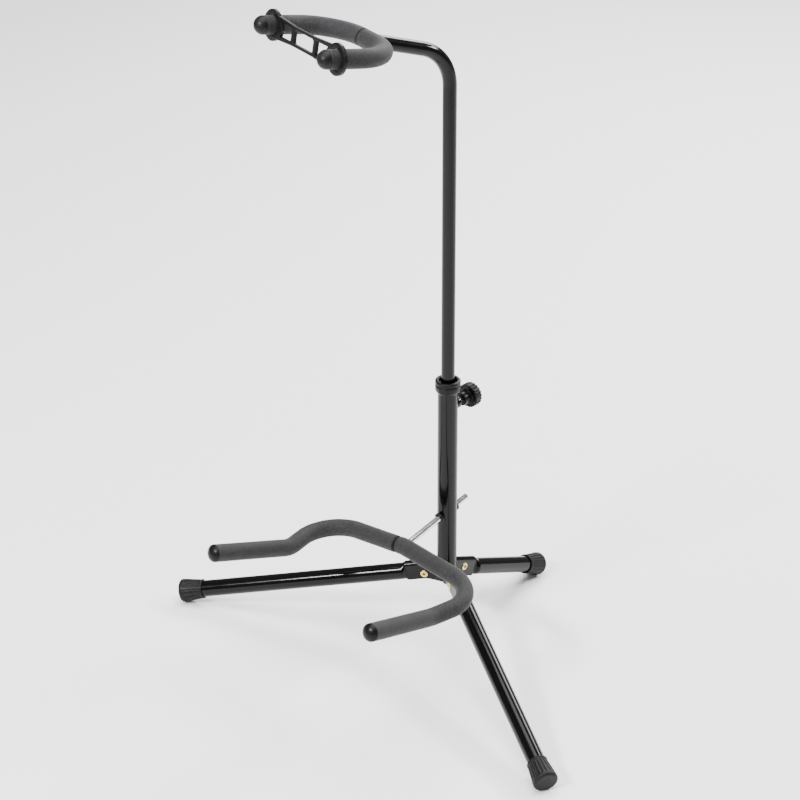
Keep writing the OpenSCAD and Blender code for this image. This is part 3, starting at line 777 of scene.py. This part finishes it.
def rivet_cutter(side):
    """A bar along a leg's rivet axis, a little thicker than the rivet."""
    r, half = RIVET_HOLE_R * MM, CUTTER_HALF_L * MM
    bar = lathe("cutter", [(0, -half), (r, -half), (r, half), (0, half)], CUTTER_POINTS)
    return moved(bar, PLACED @ Matrix.Rotation(math.radians(SIDES[side]), 4, "Z")
                 @ Matrix.Translation((RIVET_R * MM, 0, RIVET_Z * MM))
                 @ Matrix.Rotation(math.pi / 2, 4, "X"))


class STAND_OT_legs(bpy.types.Operator):
    """Make the three leg tubes, pressed to a channel at the hub"""

    bl_idname = "stand.legs"
    bl_label = "Legs"

    def execute(self, context):
        for side in SIDES:
            leg = leg_mesh("tube_leg_" + side, side)
            paint(leg, finish("black_coat"))
            cutter = rivet_cutter(side)
            hole = leg.modifiers.new("Rivet Hole", "BOOLEAN")
            hole.object, hole.operation, hole.solver = cutter, "DIFFERENCE", "EXACT"
            leg = bake(leg, "tube_leg_" + side)
            bpy.data.objects.remove(cutter)
            if len(leg.data.vertices) < LEAST_LEG_VERTS:
                raise RuntimeError(f"the rivet's hole spoilt {leg.name}")
            leg.data.shade_smooth()
            sharpen(leg, LEG_SHARP_ANGLE)
            take_place(leg, "leg_" + side)
        return {"FINISHED"}


class STAND_OT_feet(bpy.types.Operator):
    """Make the fluted rubber feet"""

    bl_idname = "stand.feet"
    bl_label = "Feet"

    def execute(self, context):
        r, bore, top = FOOT_D / 2, LEG_D / 2 + FOOT_FIT, FOOT_L
        floor, lip_r, neck_r, flare, flat_r = top - FOOT_FLOOR, r - 2.5, r - 2.9, top - 5, 6
        outline = rounded([
            (0, floor, 0), (bore, floor, 0.4), (bore, 0, 0.6), (lip_r, 0, 0.7),
            (lip_r, 1.6, 0.3), (neck_r, 2.1, 0.3), (r, flare, 4), (r, top, FOOT_EDGE),
            (flat_r, top, 0), (0, top, 0)], 6)
        fine = [p * MM for p in spread(outline, STEP)]
        tree = flute_tree()
        for side in SIDES:
            length, _, place = leg_place(side)
            blank = lathe("blank", fine, FOOT_FLUTES * POINTS_A_FOOT_FLUTE)
            foot = grow(blank, tree, "rubber_foot_" + side, {
                "Count": FOOT_FLUTES, "Depth": 0.0009, "Low": 0.0026, "High": 0.0270,
                "Run Out": 0.0016, "Inner Radius": 0.0119, "Land": 0.42,
                "Material": finish("foot_rubber")})
            moved(foot, place @ Matrix.Translation(((length - FOOT_L) * MM, 0, 0))
                  @ Matrix.Rotation(math.pi / 2, 4, "Y"))
            recalculate(foot)
            foot.data.shade_smooth()
            take_place(foot, "foot_" + side)
        return {"FINISHED"}


def spread(outline, step):
    """The same outline with points no further apart than step."""
    out = [outline[0]]
    for a, b in zip(outline, outline[1:]):
        count = max(1, math.ceil((b - a).length / step))
        out += [a + (b - a) * k / count for k in range(1, count + 1)]
    return out


class STAND_OT_knob(bpy.types.Operator):
    """Make the fluted knob of the height clamp"""

    bl_idname = "stand.knob"
    bl_label = "Clamp Knob"

    def execute(self, context):
        r, bore, top = KNOB_D / 2, SCREW_D / 2, KNOB_Y + KNOB_T
        bore_end, dish, rim_r, dish_r = top - 3, top - 0.7, 9.5, 8.8
        outline = rounded([
            (0, bore_end, 0), (bore, bore_end, 0), (bore, KNOB_HUB_START, 0.3),
            (KNOB_HUB_R, KNOB_HUB_START, 0.8), (KNOB_HUB_R, KNOB_HUB_STEP, 0),
            (KNOB_HUB_R, KNOB_Y - 0.2, 1.6), (r - 3.4, KNOB_Y + 0.4, 0.3), (r - 2.8, KNOB_Y, 0.4),
            (r, KNOB_Y, 1.1), (r, top - 1.2, 1.6), (r - 3.5, top, 1.0), (rim_r, top, 0.6),
            (dish_r, dish, 0.4), (0, dish, 0)], 5)
        blank = lathe("blank", [p * MM for p in spread(outline, STEP)],
                      KNOB_FLUTES * POINTS_A_KNOB_FLUTE)
        knob = grow(blank, flute_tree(), "fluted_knob", {
            "Count": KNOB_FLUTES, "Depth": 0.0012, "Low": (KNOB_Y - 1) * MM,
            "High": (top + 0.2) * MM, "Run Out": 0.0012, "Inner Radius": (r - 2.6) * MM,
            "Land": 0.3, "Material": finish("black_plastic")})
        moved(knob, PLACED @ Matrix.Translation((0, 0, CLAMP_Z * MM))
              @ Matrix.Rotation(-math.pi / 2, 4, "X"))
        recalculate(knob)
        knob.data.shade_smooth()
        sharpen(knob, SHARP_ANGLE)
        take_place(knob, "clamp_knob")
        return {"FINISHED"}


def softened(node, name, width, segments=3, angle=35):
    """A copy of a CAD piece with its hard edges rounded, as moulding or coating leaves them."""
    ob = link_object(name, NODES[node].data.copy())
    bm = bmesh.new()
    bm.from_mesh(ob.data)
    bmesh.ops.remove_doubles(bm, verts=bm.verts, dist=WELD)
    bmesh.ops.dissolve_limit(bm, angle_limit=math.radians(FLAT_ANGLE), verts=bm.verts,
                             edges=bm.edges)
    bm.to_mesh(ob.data)
    bm.free()
    bevel = ob.modifiers.new("Edge", "BEVEL")
    bevel.width, bevel.segments, bevel.limit_method = width, segments, "ANGLE"
    bevel.angle_limit = math.radians(angle)
    piece = bake(ob, name)
    piece.data.shade_smooth()
    sharpen(piece, SHARP_ANGLE)
    slot = SLOT_OF[node]
    paint(piece, finish(slot))
    return take_place(piece, node)


class STAND_OT_fittings(bpy.types.Operator):
    """Round the edges of the strap, the hub, the collar and the small fittings"""

    bl_idname = "stand.fittings"
    bl_label = "Strap and Fittings"

    def execute(self, context):
        softened("neck_strap", "moulded_strap", 0.0012, segments=4)
        softened("hub_bracket", "pressed_hub", 0.0005)
        softened("height_collar", "moulded_collar", 0.0005)
        softened("clamp_boss", "welded_boss", 0.0005)
        softened("front_grommet", "moulded_grommet_front", 0.0004)
        softened("rear_grommet", "moulded_grommet_rear", 0.0004)
        for node in ("rivet_left", "rivet_right", "rivet_rear"):
            softened(node, "rolled_" + node, 0.00035, angle=30)
        return {"FINISHED"}


class STAND_OT_stage(bpy.types.Operator):
    """Make the floor, the lights and the camera"""

    bl_idname = "stand.stage"
    bl_label = "Stage"

    def execute(self, context):
        stage = context.scene.stand_stage
        target = Vector(stage.target)
        add_floor()
        add_world(stage.world)
        for name, (azimuth, height, away, size, share) in LIGHTS.items():
            back = facing(math.radians(azimuth), math.radians(height))
            add_light(name, target, back, away, size, stage.key * share)
        add_camera(stage, target)
        return {"FINISHED"}


def add_floor():
    half = FLOOR_HALF
    corners = [(-half, -half, 0), (half, -half, 0), (half, half, 0), (-half, half, 0)]
    floor = mesh_object("floor", corners, [(0, 1, 2, 3)], smooth=False)
    m = bpy.data.materials.new("floor")
    m.use_nodes = True
    shader = m.node_tree.nodes["Principled BSDF"]
    shader.inputs["Base Color"].default_value = FLOOR_COLOUR
    shader.inputs["Roughness"].default_value = FLOOR_ROUGHNESS
    paint(floor, m)


def add_world(strength):
    world = bpy.data.worlds.new("studio")
    bpy.context.scene.world = world
    world.use_nodes = True
    shade = world.node_tree.nodes["Background"]
    shade.inputs["Color"].default_value = (1, 1, 1, 1)
    shade.inputs["Strength"].default_value = strength


def facing(azimuth, height):
    """The direction from the target back to a light or the camera, azimuth from the front."""
    level = math.cos(height)
    return Vector((math.sin(azimuth) * level, -math.cos(azimuth) * level, math.sin(height)))


def add_light(name, target, back, away, size, power):
    """An area light that faces the target."""
    data = bpy.data.lights.new(name, "AREA")
    data.shape, data.energy = "RECTANGLE", power
    data.size, data.size_y = size
    ob = link_object(name, data)
    ob.location = target + back * away
    ob.rotation_euler = (-back).to_track_quat("-Z", "Y").to_euler()


def add_camera(stage, target):
    back = facing(stage.azimuth, stage.elevation)
    data = bpy.data.cameras.new("camera")
    data.sensor_width, data.lens = SENSOR, stage.lens
    data.clip_start, data.clip_end = CLIP_START, CLIP_END
    camera = link_object("camera", data)
    turn = (-back).to_track_quat("-Z", "Y").to_matrix().to_4x4()
    camera.matrix_world = (Matrix.Translation(target + back * stage.distance) @ turn
                           @ Matrix.Rotation(stage.roll, 4, "Z"))
    bpy.context.scene.camera = camera


class STAND_PT_panel(bpy.types.Panel):
    """Lists the stand's settings and its pieces"""

    bl_idname = "STAND_PT_panel"
    bl_label = "Guitar Stand"
    bl_space_type = "VIEW_3D"
    bl_region_type = "UI"
    bl_category = "Guitar Stand"

    def draw(self, context):
        for name in SETTINGS:
            group, box = getattr(context.scene, name), self.layout.box()
            for key in group.__annotations__:
                box.prop(group, key)
        for operator in OPERATORS:
            self.layout.operator(operator.bl_idname)


SETTINGS = {"stand_foam": StandFoamSettings, "stand_coat": StandCoatSettings,
            "stand_stage": StandStageSettings}
OPERATORS = (STAND_OT_finishes, STAND_OT_sleeves, STAND_OT_legs, STAND_OT_feet, STAND_OT_knob,
             STAND_OT_fittings, STAND_OT_stage)
CLASSES = (*SETTINGS.values(), *OPERATORS, STAND_PT_panel)


def register():
    for cls in CLASSES:
        bpy.utils.register_class(cls)
    for name, cls in SETTINGS.items():
        setattr(bpy.types.Scene, name, bpy.props.PointerProperty(type=cls))


def unregister():
    for name in SETTINGS:
        delattr(bpy.types.Scene, name)
    for cls in reversed(CLASSES):
        bpy.utils.unregister_class(cls)


def main():
    register()
    bpy.ops.stand.finishes()
    bpy.ops.stand.sleeves()
    bpy.ops.stand.legs()
    bpy.ops.stand.feet()
    bpy.ops.stand.knob()
    bpy.ops.stand.fittings()
    bpy.ops.stand.stage()


if __name__ == "__main__":
    main()
